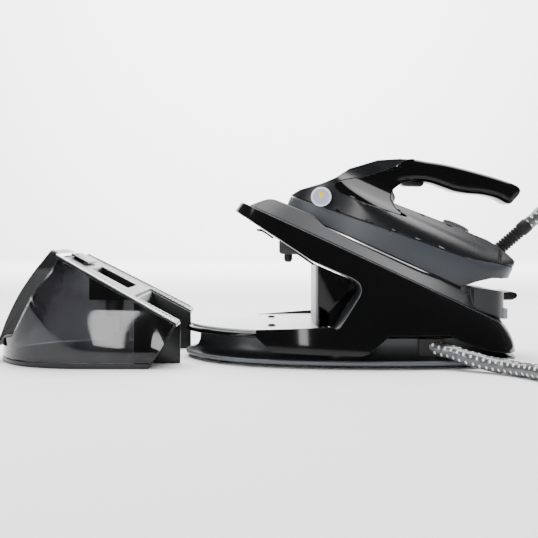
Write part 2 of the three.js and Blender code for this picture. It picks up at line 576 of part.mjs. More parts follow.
const wire = new THREE.Shape(new THREE.EllipseCurve(0, 0, 0.7, 0.7, 0, 2 * Math.PI).getPoints(6).slice(0, 6));
const coiled = { steps: 56, extrudePath: new Helix(5.6, 50.2, 60.4, 4), bevelEnabled: false };
put(tank, "valve_spring", solid(new THREE.ExtrudeGeometry(wire, coiled)), "metal");
const FLOAT_AT = [123, 52];
const FLOAT = [[2.4, 8], [9, 8], [10, 9], [10, 21], [9, 22], [2.4, 22]];
put(tank, "float", turned([...FLOAT, FLOAT[0]], [...FLOAT_AT, 0], [0, 0, 1], 18), "grey");
const ROD = [[0, 5.9], [6, 5.9], [6, 7.4], [2, 7.4], [2, 80], [0, 80]];
put(tank, "float_rod", turned(ROD, [...FLOAT_AT, 0], [0, 0, 1], 12), "metal");

// ---- steam hose ----
put(root, "hose_run", tube(RUN, HOSE_R, 26, 10), "hose");
const COIL_AT = [385, -150, 0];
const COIL_R = 84;
const coilSection = [
  [-15.5, 4], [-11.5, 0.1], [11.5, 0.1], [15.5, 4], [15.5, 11], [11.5, 15], [-11.5, 15], [-15.5, 11], [-15.5, 4],
];
put(root, "hose_coil", turned(coilSection.map(([r, z]) => [COIL_R + r, z]), COIL_AT, [0, 0, 1], 32), "hose");
const RISER = [
  [463, -136, 23.6], [464.4, -112, 27], [465.5, -93, 41], [464, -76, 68], [457, -59, 103], [446, -43, 135],
  [430, -29, 161], [410, -17.5, 179], [388, -9, 188.5], [366, -3.5, 189.5], [346, -0.7, 184],
  [330, 0, 173.8], [311.6, 0, 157.9],
];
put(root, "hose_riser", tube(RISER, HOSE_R, 22, 10), "hose");

root.position.set(-ORIGIN[0], -ORIGIN[1], 0);
export default root;
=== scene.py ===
import math

import bmesh
import bpy
import numpy as np
from mathutils import Matrix, Vector


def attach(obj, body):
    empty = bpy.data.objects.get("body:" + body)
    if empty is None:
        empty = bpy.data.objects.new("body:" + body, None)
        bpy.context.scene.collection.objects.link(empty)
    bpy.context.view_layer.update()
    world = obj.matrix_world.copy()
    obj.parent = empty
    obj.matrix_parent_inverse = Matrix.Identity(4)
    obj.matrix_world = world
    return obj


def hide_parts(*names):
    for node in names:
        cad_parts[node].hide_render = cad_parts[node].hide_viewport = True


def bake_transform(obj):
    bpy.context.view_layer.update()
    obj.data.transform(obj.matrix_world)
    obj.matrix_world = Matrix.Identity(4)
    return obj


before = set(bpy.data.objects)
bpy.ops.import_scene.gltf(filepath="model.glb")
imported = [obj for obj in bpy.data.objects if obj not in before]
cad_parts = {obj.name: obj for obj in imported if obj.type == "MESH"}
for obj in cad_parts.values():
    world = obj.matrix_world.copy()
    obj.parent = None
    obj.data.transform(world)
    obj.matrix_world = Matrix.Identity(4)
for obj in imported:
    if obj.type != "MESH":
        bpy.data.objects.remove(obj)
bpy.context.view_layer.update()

# Lengths below are millimetres in the station's own frame, as in the CAD.
# at() turns them into the row's metres.
ORIGIN_X = 2.2
TILT = math.radians(24.5)
IRON_AT = (18.6, 0.0, 175.9)
TANK_AT = (-309.0, -5.0, 0.0)
SEAM = (167.2, 0.4706)
HOSE_R = 7.5
STATION_REACH, IRON_REACH, TANK_REACH = 130, 70, 120


def at(x, y, z):
    return Vector(((x - ORIGIN_X) / 1000, y / 1000, z / 1000))


def seam(x):
    return SEAM[0] - SEAM[1] * x


# ---- camera ----
CAM_AT = (0.0, -980.0, 137.5)
CAM_LENS = 54.7
CAM_SHIFT = -0.054
camera_data = bpy.data.cameras.new("camera")
camera_data.sensor_width = 36
camera_data.lens = CAM_LENS
camera_data.shift_y = CAM_SHIFT
camera_data.clip_end = 50
camera = bpy.data.objects.new("camera", camera_data)
camera.location = at(*CAM_AT)
camera.rotation_euler = (math.radians(90), 0, 0)
bpy.context.scene.collection.objects.link(camera)
bpy.context.scene.camera = camera


# ---- mesh helpers ----
def new_object(name, mesh, *materials):
    obj = bpy.data.objects.new(name, mesh)
    bpy.context.scene.collection.objects.link(obj)
    for material in materials:
        mesh.materials.append(material)
    return obj


def grid_faces(rows, count, closed):
    """Quads between rows of `count` points each, going round when closed."""
    faces = []
    for r in range(rows - 1):
        for i in range(count if closed else count - 1):
            j = (i + 1) % count
            faces.append((r * count + i, r * count + j, (r + 1) * count + j, (r + 1) * count + i))
    return faces


def outward(mesh):
    bm = bmesh.new()
    bm.from_mesh(mesh)
    bmesh.ops.recalc_face_normals(bm, faces=bm.faces)
    bm.to_mesh(mesh)
    bm.free()


def smooth(obj, degrees=35):
    obj.data.polygons.foreach_set("use_smooth", [True] * len(obj.data.polygons))
    obj.data.set_sharp_from_angle(angle=math.radians(degrees))


def bevel(obj, width_mm, segments=3, degrees=35):
    m = obj.modifiers.new("bevel", "BEVEL")
    m.width = width_mm / 1000
    m.segments = segments
    m.limit_method = "ANGLE"
    m.angle_limit = math.radians(degrees)
    m.harden_normals = True
    obj.data.polygons.foreach_set("use_smooth", [True] * len(obj.data.polygons))
    return m


def between(a, b, c, d, t):
    """A point at t from b to c on the smooth curve through four points."""
    return 0.5 * (2 * b + (c - a) * t + (2 * a - 5 * b + 4 * c - d) * t**2
                  + (3 * b - a - 3 * c + d) * t**3)


def catmull(points, n):
    """Points evenly spread along a smooth curve through the given ones."""
    p = np.array(points, float)
    p = np.vstack([2 * p[0] - p[1], p, 2 * p[-1] - p[-2]])
    out = []
    for i in range(1, len(p) - 2):
        for t in np.linspace(0, 1, 40, endpoint=False):
            a, b, c, d = p[i - 1], p[i], p[i + 1], p[i + 2]
            out.append(between(a, b, c, d, t))
    out.append(p[-2])
    out = np.array(out)
    s = np.concatenate([[0], np.cumsum(np.linalg.norm(np.diff(out, axis=0), axis=1))])
    evenly = np.linspace(0, s[-1], n)
    return np.array([[np.interp(t, s, out[:, k]) for k in range(out.shape[1])] for t in evenly])


# ---- materials ----
def shader(name, colour, rough, metal=0.0, coat=0.0, coat_rough=0.05, spec=0.5, grain=1200,
           bump=0.02, vary=0.06, rough_vary=0.06, transmission=0.0, ior=1.47):
    """Moulded plastic, metal or lacquer: fine grain, slight colour drift and uneven gloss, from noise."""
    m = bpy.data.materials.new(name)
    m.use_nodes = True
    m.diffuse_color = (*colour, 1)
    nodes, links = m.node_tree.nodes, m.node_tree.links
    b = nodes["Principled BSDF"]
    b.inputs["Metallic"].default_value = metal
    b.inputs["IOR"].default_value = ior
    b.inputs["Specular IOR Level"].default_value = spec
    b.inputs["Coat Weight"].default_value = coat
    b.inputs["Coat Roughness"].default_value = coat_rough
    b.inputs["Transmission Weight"].default_value = transmission
    place = nodes.new("ShaderNodeTexCoord")
    wide = nodes.new("ShaderNodeTexNoise")
    wide.inputs["Scale"].default_value = 14
    wide.inputs["Detail"].default_value = 4
    links.new(place.outputs["Object"], wide.inputs["Vector"])
    tone = nodes.new("ShaderNodeMix")
    tone.data_type = "RGBA"
    tone.inputs["A"].default_value = (*[c * (1 - vary) for c in colour], 1)
    tone.inputs["B"].default_value = (*[min(1, c * (1 + vary)) for c in colour], 1)
    links.new(wide.outputs["Fac"], tone.inputs["Factor"])
    links.new(tone.outputs["Result"], b.inputs["Base Color"])
    gloss = nodes.new("ShaderNodeMapRange")
    gloss.inputs["To Min"].default_value = max(0.02, rough - rough_vary)
    gloss.inputs["To Max"].default_value = min(1, rough + rough_vary)
    links.new(wide.outputs["Fac"], gloss.inputs["Value"])
    links.new(gloss.outputs["Result"], b.inputs["Roughness"])
    fine = nodes.new("ShaderNodeTexNoise")
    fine.inputs["Scale"].default_value = grain
    fine.inputs["Detail"].default_value = 3
    links.new(place.outputs["Object"], fine.inputs["Vector"])
    height = nodes.new("ShaderNodeBump")
    height.inputs["Strength"].default_value = bump * 5
    height.inputs["Distance"].default_value = 0.0001
    links.new(fine.outputs["Fac"], height.inputs["Height"])
    links.new(height.outputs["Normal"], b.inputs["Normal"])
    return m


def brushed(name, colour, rough, axis=(1, 60, 60)):
    """Metal with drawn streaks along one direction."""
    m = shader(name, colour, rough, metal=1.0, bump=0.01, rough_vary=0.04)
    nodes, links = m.node_tree.nodes, m.node_tree.links
    stretch = nodes.new("ShaderNodeMapping")
    stretch.inputs["Scale"].default_value = axis
    place = next(n for n in nodes if n.type == "TEX_COORD")
    noise = [n for n in nodes if n.type == "TEX_NOISE"][1]
    noise.inputs["Scale"].default_value = 60
    links.new(place.outputs["Object"], stretch.inputs["Vector"])
    links.new(stretch.outputs["Vector"], noise.inputs["Vector"])
    return m


slate = shader("slate_satin", (0.014, 0.0155, 0.018), 0.34, spec=0.5, bump=0.03, grain=900)
slate_light = shader("slate_flange", (0.085, 0.094, 0.106), 0.38, spec=0.5, bump=0.03, grain=900)
skirt_slate = shader("skirt_satin", (0.046, 0.053, 0.063), 0.38, spec=0.5, bump=0.03, grain=900)
upper_slate = shader("iron_body_satin", (0.006, 0.0068, 0.0085), 0.27, spec=0.5, bump=0.02, grain=900)
gloss = shader("gloss_black", (0.0016, 0.0017, 0.002), 0.08, spec=0.26, coat=0.0, coat_rough=0.03,
               bump=0.004, vary=0.2, rough_vary=0.03)
satin_black = shader("satin_black", (0.005, 0.0055, 0.0065), 0.3, spec=0.4, bump=0.03, grain=1000, vary=0.15)
rubber = shader("black_rubber", (0.009, 0.009, 0.0095), 0.6, bump=0.08, grain=1500, vary=0.2, spec=0.35)
deck_paint = shader("deck_silver_white", (0.62, 0.63, 0.645), 0.3, metal=0.15, bump=0.02, grain=1600)
pale_grey = shader("pale_grey_plastic", (0.36, 0.37, 0.39), 0.38, bump=0.03, grain=900)
mid_grey = shader("grey_plastic", (0.2, 0.205, 0.215), 0.42, bump=0.03, grain=900)
silver = brushed("silver_trim", (0.66, 0.67, 0.69), 0.24)
chrome = shader("chrome", (0.82, 0.83, 0.85), 0.08, metal=1.0, bump=0.004, rough_vary=0.04, vary=0.03)
steel = brushed("steel", (0.56, 0.57, 0.585), 0.3)
brass = shader("brass", (0.72, 0.5, 0.2), 0.3, metal=1.0, bump=0.02)
sole_metal = brushed("soleplate_alloy", (0.60, 0.61, 0.63), 0.22, axis=(1, 50, 50))
white_plastic = shader("white_plastic", (0.78, 0.79, 0.8), 0.35, bump=0.02)
badge_fill = shader("badge_lavender", (0.42, 0.43, 0.62), 0.35, bump=0.01)
badge_mark = shader("badge_yellow", (0.85, 0.62, 0.06), 0.35, bump=0.01)
board_green = shader("board_green", (0.02, 0.16, 0.06), 0.4, vary=0.2)
shell_clear = shader("smoked_clear", (0.135, 0.135, 0.145), 0.05, spec=0.5, bump=0.002, vary=0.04,
                     rough_vary=0.02, transmission=1.0, ior=1.35)
lens_clear = shader("clear_lens", (0.75, 0.8, 0.85), 0.06, coat=0.4, bump=0.002, rough_vary=0.02)
beige_metal = brushed("rest_plate_steel", (0.6, 0.57, 0.52), 0.3)


def braid_material():
    """Dark woven sleeve with helical rows of pale oval dots, under a thin clear coat."""
    m = shader("hose_braid", (0.05, 0.052, 0.056), 0.42, coat=1.0, coat_rough=0.1, bump=0.05)
    nodes, links = m.node_tree.nodes, m.node_tree.links
    b = nodes["Principled BSDF"]
    uv = nodes.new("ShaderNodeUVMap")
    uv.uv_map = "along"
    split = nodes.new("ShaderNodeSeparateXYZ")
    links.new(uv.outputs["UV"], split.inputs["Vector"])

    def math_node(op, a, c=None):
        n = nodes.new("ShaderNodeMath")
        n.operation = op
        for i, v in enumerate((a, c)):
            if v is None:
                continue
            if isinstance(v, (int, float)):
                n.inputs[i].default_value = v
            else:
                links.new(v, n.inputs[i])
        return n.outputs["Value"]

    def cell(scale_u, scale_v, skew, ru, rv, soft):
        u, v = split.outputs["X"], split.outputs["Y"]
        a = math_node("MULTIPLY", math_node("ADD", u, math_node("MULTIPLY", v, skew)), scale_u)
        c = math_node("MULTIPLY", v, scale_v)
        da = math_node("DIVIDE", math_node("SUBTRACT", math_node("FRACT", a), 0.5), ru)
        dc = math_node("DIVIDE", math_node("SUBTRACT", math_node("FRACT", c), 0.5), rv)
        r = math_node("ADD", math_node("MULTIPLY", da, da), math_node("MULTIPLY", dc, dc))
        edge = nodes.new("ShaderNodeMapRange")
        edge.inputs["From Min"].default_value = 1 - soft
        edge.inputs["From Max"].default_value = 1
        edge.inputs["To Min"].default_value = 1
        edge.inputs["To Max"].default_value = 0
        links.new(r, edge.inputs["Value"])
        return edge.outputs["Result"]

    dots = cell(1 / 7.2, 6, 3.6, 0.2, 0.26, 0.35)
    tone = next(n for n in nodes if n.type == "MIX")
    speck = nodes.new("ShaderNodeMix")
    speck.data_type = "RGBA"
    links.new(dots, speck.inputs["Factor"])
    links.new(tone.outputs["Result"], speck.inputs["A"])
    speck.inputs["B"].default_value = (0.72, 0.73, 0.72, 1)
    links.new(speck.outputs["Result"], b.inputs["Base Color"])
    weave = math_node("ADD", math_node("SINE", math_node("MULTIPLY", split.outputs["X"], 4.4)),
                      math_node("SINE", math_node("MULTIPLY", split.outputs["Y"], 62.83)))
    height = next(n for n in nodes if n.type == "BUMP")
    height.inputs["Strength"].default_value = 0.24
    height.inputs["Distance"].default_value = 0.0003
    links.new(weave, height.inputs["Height"])
    return m


braid = braid_material()


# ---- the steam hose ----
RUN = [(176, -97.5, 22.4), (183, -103, 20.2), (194, -111, 18), (208, -122.5, 14.2), (221, -131, 11),
       (239, -145, 8.8), (257, -168, 8.3), (272, -196, 8.3), (292, -220, 8.3), (318, -235, 8.3),
       (350, -241.5, 8.3)]
COIL_AT, COIL_OUT, COIL_IN, COIL_Z = (385.0, -150.0), 92.0, 76.0, 8.3
COIL_TURNS, COIL_POINTS = 2.25, 74
SHRINK_FROM, SHRINK_OVER = 0.36, 0.3
FILM_LIFT, FILM_PUFF = 0.3, 1.5
RISER = [(462, -137, 9), (464.2, -114, 18), (465.5, -93, 38), (464, -76, 68), (457, -59, 103),
         (446, -43, 135), (430, -29, 161), (410, -17.5, 179), (388, -9, 188.5), (366, -3.5, 189.5),
         (346, -0.7, 184), (330, 0, 173.8), (320, 0, 165.1), (306.4, 0, 153.3)]


def hose_route():
    """The run, the flat coil that closes in after its first turn, and the riser to the iron."""
    points = list(RUN)
    for i in range(COIL_POINTS):
        t = i / (COIL_POINTS - 1)
        angle = math.radians(-90 + 360 * COIL_TURNS * t)
        shrink = min(1, max(0, (t - SHRINK_FROM) / SHRINK_OVER))
        r = COIL_OUT + (COIL_IN - COIL_OUT) * shrink * shrink * (3 - 2 * shrink)
        points.append((COIL_AT[0] + r * math.cos(angle), COIL_AT[1] + r * math.sin(angle), COIL_Z))
    return points + RISER


def tube_mesh(name, path, radius_of, sides):
    """A tube along a path, with lengthwise millimetres and turns round it in the UV map."""
    path = np.array(path, float)
    n = len(path)
    tangent = np.gradient(path, axis=0)
    tangent /= np.linalg.norm(tangent, axis=1)[:, None]
    side = np.cross(tangent[0], [0, 0, 1])
    side /= np.linalg.norm(side)
    verts, along = [], [0.0]
    for i in range(n):
        side = side - tangent[i] * np.dot(side, tangent[i])
        side /= np.linalg.norm(side)
        up = np.cross(side, tangent[i])
        for k in range(sides):
            a = 2 * math.pi * k / sides
            verts.append(path[i] + (side * math.cos(a) + up * math.sin(a)) * radius_of(i, a))
        if i:
            along.append(along[-1] + float(np.linalg.norm(path[i] - path[i - 1])))
    faces = grid_faces(n, sides, True)
    body = len(faces)
    faces += [tuple(reversed(range(sides))), tuple(range((n - 1) * sides, n * sides))]
    mesh = bpy.data.meshes.new(name)
    mesh.from_pydata([at(*v) for v in verts], [], faces)
    layer = mesh.uv_layers.new(name="along")
    for f in range(body):
        r, k = divmod(f, sides)
        here, there = along[r], along[r + 1]
        left, right = k / sides, (k + 1) / sides
        uv = [(here, left), (here, right), (there, right), (there, left)]
        for li, value in zip(mesh.polygons[f].loop_indices, uv):
            layer.data[li].uv = value
    outward(mesh)
    return mesh


route = catmull(hose_route(), 900)
rng = np.random.default_rng(7)
wrinkle = rng.normal(0, 1, (len(route), 5))
for k in range(5):
    wrinkle[:, k] = np.convolve(wrinkle[:, k], np.ones(3) / 3, mode="same")


def hose_radius(i, a):
    """The loose film makes the hose a little uneven."""
    w = wrinkle[i]
    lean = 0.28 * (w[0] * math.sin(a) + w[1] * math.cos(a))
    puff = lean + 0.2 * (w[2] * math.sin(3 * a) + w[3] * math.cos(2 * a))
    return HOSE_R + FILM_LIFT + FILM_PUFF * max(-0.45, min(0.6, puff))


hose = new_object("steam_hose", tube_mesh("steam_hose", route, hose_radius, 24), braid)
smooth(hose, 80)
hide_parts("hose_run", "hose_coil", "hose_riser")
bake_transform(hose)

# ---- floor and light ----
floor_mesh = bpy.data.meshes.new("studio_floor")
bm = bmesh.new()
bmesh.ops.create_grid(bm, x_segments=24, y_segments=24, size=14)
bm.to_mesh(floor_mesh)
bm.free()
floor_paint = shader("studio_floor_paint", (0.93, 0.93, 0.93), 0.75, spec=0.2, bump=0.0, vary=0.005)
floor = new_object("studio_floor", floor_mesh, floor_paint)

world = bpy.data.worlds.new("studio")
bpy.context.scene.world = world
world.use_nodes = True
world.node_tree.nodes["Background"].inputs["Color"].default_value = (1, 1, 1, 1)
world.node_tree.nodes["Background"].inputs["Strength"].default_value = 0.24


def area(name, place, target, size, power):
    data = bpy.data.lights.new(name, "AREA")
    data.shape = "RECTANGLE"
    data.size, data.size_y = size
    data.energy = power
    light = bpy.data.objects.new(name, data)
    light.location = place
    light.rotation_euler = (Vector(target) - Vector(place)).to_track_quat("-Z", "Y").to_euler()
    bpy.context.scene.collection.objects.link(light)


backdrop_mesh = bpy.data.meshes.new("studio_backdrop")
bm = bmesh.new()
upright = Matrix.Translation((0, 5.5, 5)) @ Matrix.Rotation(math.radians(90), 4, "X")
bmesh.ops.create_grid(bm, x_segments=24, y_segments=24, size=7, matrix=upright)
bm.to_mesh(backdrop_mesh)
bm.free()
backdrop = new_object("studio_backdrop", backdrop_mesh, floor_paint)
area("softbox_top", (0.0, 0.55, 1.9), (0, 0.35, 0), (3.0, 1.7), 150)
area("softbox_left", (-1.5, -1.0, 0.8), (-0.1, 0, 0.12), (0.35, 1.2), 10)
area("backdrop_light", (0.0, 2.2, 2.8), (0, 5.5, 1.4), (6.0, 1.5), 900)
area("front_strip", (-0.55, -1.9, 0.55), (0.05, 0, 0.15), (0.16, 0.9), 9)

# ---- solids in a body's own millimetres, cut and joined before they are placed ----
IRON_M = Matrix.Translation(IRON_AT) @ Matrix.Rotation(TILT, 4, "Y")
TANK_M = Matrix.Translation(TANK_AT)
TO_ROW = Matrix.Translation((-ORIGIN_X / 1000, 0, 0)) @ Matrix.Scale(0.001, 4)
BASE_HALF = [(-99, 0), (-97, 16), (-90, 33), (-74, 57), (-48, 80), (-14, 98), (37, 112), (95, 118),
             (150, 118), (205, 113), (247, 102), (268, 84), (277, 58), (280, 28), (280, 0)]
TOP_HALF = [(-33, 0), (-32, 10), (-28, 20), (-18, 32), (5, 48), (35, 61), (75, 73), (120, 80), (165, 84),
            (205, 85), (243, 82), (260, 71), (268, 50), (271, 24), (272, 0)]
SOLE_HALF = [(-1, 0), (3, 9), (14, 20), (36, 33), (70, 45), (110, 53), (150, 56.5), (190, 56.5), (211, 51),
             (219, 38), (221, 18), (221.6, 0)]
SKIRT_HALF = [(1, 0), (5, 9), (15, 21), (37, 35), (72, 48), (112, 56), (152, 59.5), (200, 60), (240, 56),
              (262, 45), (271, 28), (273.6, 12), (274, 0)]
TANK_HALF = [(-3, 0), (-1.5, 18), (5, 42), (17, 64), (34, 82), (58, 96), (92, 105), (135, 108), (180, 108),
             (212, 105), (213, 40), (213.5, 0)]
IRON_SECTION = [(-12, 60), (10, 60), (20, 59.6), (32, 56.6), (44, 48), (55, 35), (70, 22.5), (84, 17),
                (100, 16.5), (128, 16.3), (142, 11.5), (152, 8)]
TANK_SECTION = [(-2, 108), (10, 108), (20, 107.3), (55, 101), (90, 89), (118, 76), (136, 69), (142, 67)]
TANK_SLOPE = (62, 127, 0.533)


def tank_top(a):
    return TANK_SLOPE[1] - TANK_SLOPE[2] * (a - TANK_SLOPE[0])


def spline(points, n):
    """Catmull-Rom through the points, n equal steps of its parameter."""
    p = [np.array(q, float) for q in points]
    out = []
    for i in range(n + 1):
        t = i / n * (len(p) - 1)
        k = min(int(t), len(p) - 2)
        t -= k
        a, b, c, d = p[max(k - 1, 0)], p[k], p[k + 1], p[min(k + 2, len(p) - 1)]
        v0, v1 = (c - a) * 0.5, (d - b) * 0.5
        out.append((2 * b - 2 * c + v0 + v1) * t**3 + (-3 * b + 3 * c - 2 * v0 - v1) * t**2 + v0 * t + b)
    return np.array(out)


def plan_loop(half, inset=0.0, n=110):
    """Half an outline, smoothed and mirrored into a whole one, and set in."""
    h = spline(half, n)
    full = np.vstack([h, h[1:-1][::-1] * [1, -1]])
    t = np.roll(full, -1, axis=0) - np.roll(full, 1, axis=0)
    t /= np.linalg.norm(t, axis=1)[:, None]
    return full + np.stack([t[:, 1], -t[:, 0]], axis=1) * inset


def closed_spline(points, steps=5):
    """A smooth closed outline through the points."""
    p = np.array(points, float)
    n = len(p)
    out = []
    for i in range(n):
        a, b, c, d = p[i - 1], p[i], p[(i + 1) % n], p[(i + 2) % n]
        for k in range(steps):
            t = k / steps
            out.append(between(a, b, c, d, t))
    return [tuple(q) for q in out]


def rounded(points, radius, steps=5):
    """An outline with its corners rounded off."""
    p = [np.array(q, float) for q in points]
    out = []
    for i, b in enumerate(p):
        a, c = p[i - 1], p[(i + 1) % len(p)]
        da, dc = np.linalg.norm(a - b), np.linalg.norm(c - b)
        r = min(radius, 0.45 * da, 0.45 * dc)
        s, e = b + (a - b) / da * r, b + (c - b) / dc * r
        for k in range(steps + 1):
            t = k / steps
            out.append(tuple((1 - t) ** 2 * s + 2 * t * (1 - t) * b + t * t * e))
    return out


def body_of(points, faces):
    mesh = bpy.data.meshes.new("solid")
    mesh.from_pydata([tuple(map(float, p)) for p in points], [], faces)
    outward(mesh)
    obj = bpy.data.objects.new("solid", mesh)
    bpy.context.scene.collection.objects.link(obj)
    return obj


def stack(rings):
    """A closed solid through rings of equally many points."""
    n = len(rings[0])
    faces = grid_faces(len(rings), n, True)
    faces += [tuple(reversed(range(n))), tuple(range((len(rings) - 1) * n, len(rings) * n))]
    return body_of([p for ring in rings for p in ring], faces)


def side(outline, y0, y1):
    """A side-view outline carried from y0 to y1."""
    return stack([[(x, y, z) for x, z in outline] for y in np.linspace(y0, y1, 2)])


def plan(outline, z0, z1):
    """A top-view outline carried from z0 to z1."""
    return stack([[(x, y, z) for x, y in outline] for z in (z0, z1)])


def across_station(outline):
    """A side outline made wider than the station."""
    return side(outline, -STATION_REACH, STATION_REACH)


def across_iron(outline):
    """A side outline made wider than the iron."""
    return side(outline, -IRON_REACH, IRON_REACH)


def across_tank(outline):
    """A side outline made wider than the tank."""
    return side(outline, -TANK_REACH, TANK_REACH)


def section(outline, x0, x1):
    """An end-view outline carried from x0 to x1."""
    return stack([[(x, y, z) for y, z in outline] for x in (x0, x1)])


def block(x0, x1, y0, y1, z0, z1):
    return side([(x0, z0), (x1, z0), (x1, z1), (x0, z1)], y0, y1)


def layered(half, levels, n=110):
    """Rings of a plan outline, each at its height and inset."""
    return stack([[(x, y, z) for x, y in plan_loop(half, inset, n)] for z, inset in levels])


def combine(op, first, others):
    """Cuts, meets or joins the first solid with each of the others, which are used up."""
    for other in others:
        m = first.modifiers.new("join", "BOOLEAN")
        m.operation = op
        m.solver = "MANIFOLD"
        m.object = other
        made = bpy.data.meshes.new_from_object(first.evaluated_get(bpy.context.evaluated_depsgraph_get()))
        first.modifiers.clear()
        if not made.polygons:
            raise ValueError(op + " left nothing")
        first.data = made
        bpy.data.objects.remove(other)
    return first


def cut(first, *others):
    return combine("DIFFERENCE", first, others)


def meet(first, *others):
    return combine("INTERSECT", first, others)


def join(first, *others):
    return combine("UNION", first, others)


def copied(obj):
    twin = bpy.data.objects.new("solid", obj.data.copy())
    bpy.context.scene.collection.objects.link(twin)
    return twin


def settle(obj, name, material, body, nodes, place=Matrix.Identity(4), radius=0.5,
           degrees=32, merge=0.25, segments=2):
    """Names and places a finished solid, rounds its edges, and stands it for its CAD nodes."""
    bm = bmesh.new()
    bm.from_mesh(obj.data)
    bmesh.ops.remove_doubles(bm, verts=bm.verts, dist=merge)
    bmesh.ops.dissolve_degenerate(bm, edges=bm.edges, dist=0.05)
    bm.to_mesh(obj.data)
    bm.free()
    obj.data.transform(TO_ROW @ place)
    obj.data.materials.clear()
    obj.data.materials.append(material)
    obj.name = obj.data.name = name
    if radius:
        bevel(obj, radius, segments, degrees).use_clamp_overlap = False
    smooth(obj, degrees)
    if nodes:
        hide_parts(*nodes)
    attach(obj, body)


def station_form(inset, low, above=0.0, n=90, levels=26):
    """The station's outer form: from the base outline up to the slanted seam, leaning in as it goes."""
    lower, upper = plan_loop(BASE_HALF, inset, n), plan_loop(TOP_HALF, inset, n)
    rings = []

    def ring(v):
        k = max(v, 0) ** 2
        return [[lo[0] + (hi[0] - lo[0]) * k, lo[1] + (hi[1] - lo[1]) * k, 12 + (seam(hi[0]) - 12) * v]
                for lo, hi in zip(lower, upper)]

    if low < 12:
        rings.append([[x, y, low] for x, y in lower])
    rings += [ring(v) for v in np.linspace(0, 0.97, levels)]
    top = []
    for lo, hi in zip(lower, upper):
        v = 1 + above / (seam(hi[0]) - 12)
        x, y = lo[0] + (hi[0] - lo[0]) * v * v, lo[1] + (hi[1] - lo[1]) * v * v
        top.append([x, y, seam(x) + above])
    rings.append(top)
    return stack(rings)


def soft_min(a, b, k):
    """The smaller of two values, blended where they come within k."""
    h = max(k - abs(a - b), 0) / k
    return min(a, b) - h * h * k * 0.25


def pressed_form(half, section_line, levels, inset=0.0, k=5.0, n=100):
    """A plan outline whose half width is also held in by a section line, softly blended."""
    zs = [z for z, _ in section_line]
    curve = spline(section_line, 60)
    rings = []
    for z in levels:
        limit = float(np.interp(z, curve[:, 0], curve[:, 1])) - inset
        rings.append([(x, math.copysign(soft_min(abs(y), limit, k), y) if abs(y) > 1e-6 else 0.0, z)
                      for x, y in plan_loop(half, inset, n)])
    return stack(rings)


def pillow(outline, y0, y1, radius, steps=6):
    """A side-view outline given depth, with its long edges rounded to a radius."""
    p = np.array(outline, float)
    t = np.roll(p, -1, axis=0) - np.roll(p, 1, axis=0)
    t /= np.linalg.norm(t, axis=1)[:, None]
    area2 = float(np.sum(p[:, 0] * np.roll(p[:, 1], -1) - np.roll(p[:, 0], -1) * p[:, 1]))
    normal = np.stack([-t[:, 1], t[:, 0]], axis=1) * (1 if area2 > 0 else -1)
    rings = []
    for k in range(steps + 1):
        a = math.pi / 2 * k / steps
        q = p + normal * radius * (1 - math.sin(a))
        rings.append([(x, y0 + radius * (1 - math.cos(a)), z) for x, z in q])
    rings += [[(x, y1 - (r[0][1] - y0), z) for x, _, z in r] for r in reversed(rings)]
    return stack(rings)


# ---- station ----
FLANGE = [(4, 2.4), (4.4, 1.2), (5.3, 0.3), (6.2, 0), (7.4, 0), (8.3, 0.5), (8.9, 1.5), (9, 2.6)]
settle(layered(BASE_HALF, FLANGE), "base_flange", slate_light, "station", ["base_plate"],
       radius=0)
NECK = [(9.05, 3.2), (9.4, 5.4), (10.2, 8.2), (11.6, 11), (13.6, 13.5), (16.5, 15.5), (20.5, 16.7),
        (25, 17), (31.2, 17)]
settle(layered(BASE_HALF, NECK), "base_neck", slate, "station", ["lower_housing"], radius=0)
RIM = [(31.5, 3.4), (31.7, 2.0), (32.4, 1.1), (33.2, 0.9), (34.6, 1.0), (35.8, 1.6), (36.8, 2.6),
       (37.4, 3.8), (37.5, 5)]
rim = join(cut(layered(BASE_HALF, RIM), block(-14.2, 300, -130, 130, 0, 60)),
           meet(layered(BASE_HALF, [(31.5, 6.3), (37.4, 6.3)]), block(-40, 70, -130, 130, 0, 60)))
settle(rim, "deck_rim", gloss, "station", ["deck_frame"], radius=0.3)
plate = meet(layered(BASE_HALF, [(37.7, 7.6), (39.5, 7.4), (39.9, 7.8), (40, 8.6)]),
             block(-110, 55, -130, 130, 0, 60))
settle(plate, "deck_panel", deck_paint, "station", ["deck_plate"], radius=0)

BAY_EDGE = [(-34, 168.4), (52, 111.5), (91, 94.5), (97, 90), (99, 83.5), (97.5, 77.5), (72, 40.2)]
SKIN_REST = [(-14, 40.2), (-14, 32), (3, 16.5), (98, 14), (106, 17), (128, 35.5), (191, 35.5), (234, 19),
             (262, 14), (300, 14), (300, 230), (-60, 230), (-60, 185.6)]
SKIN = rounded(BAY_EDGE, 6)[3:] + SKIN_REST
shell = meet(station_form(0, 12), across_station(SKIN))
shell = cut(shell, station_form(2.6, 6, 20))
for half, y0, y1 in (("near", -130, -0.1), ("far", 0.1, 130)):
    settle(meet(copied(shell), block(-120, 300, y0, y1, 0, 230)), "casing_shell_" + half, gloss, "station",
           ["casing_" + half], radius=0.5, merge=0.4)
bpy.data.objects.remove(shell)

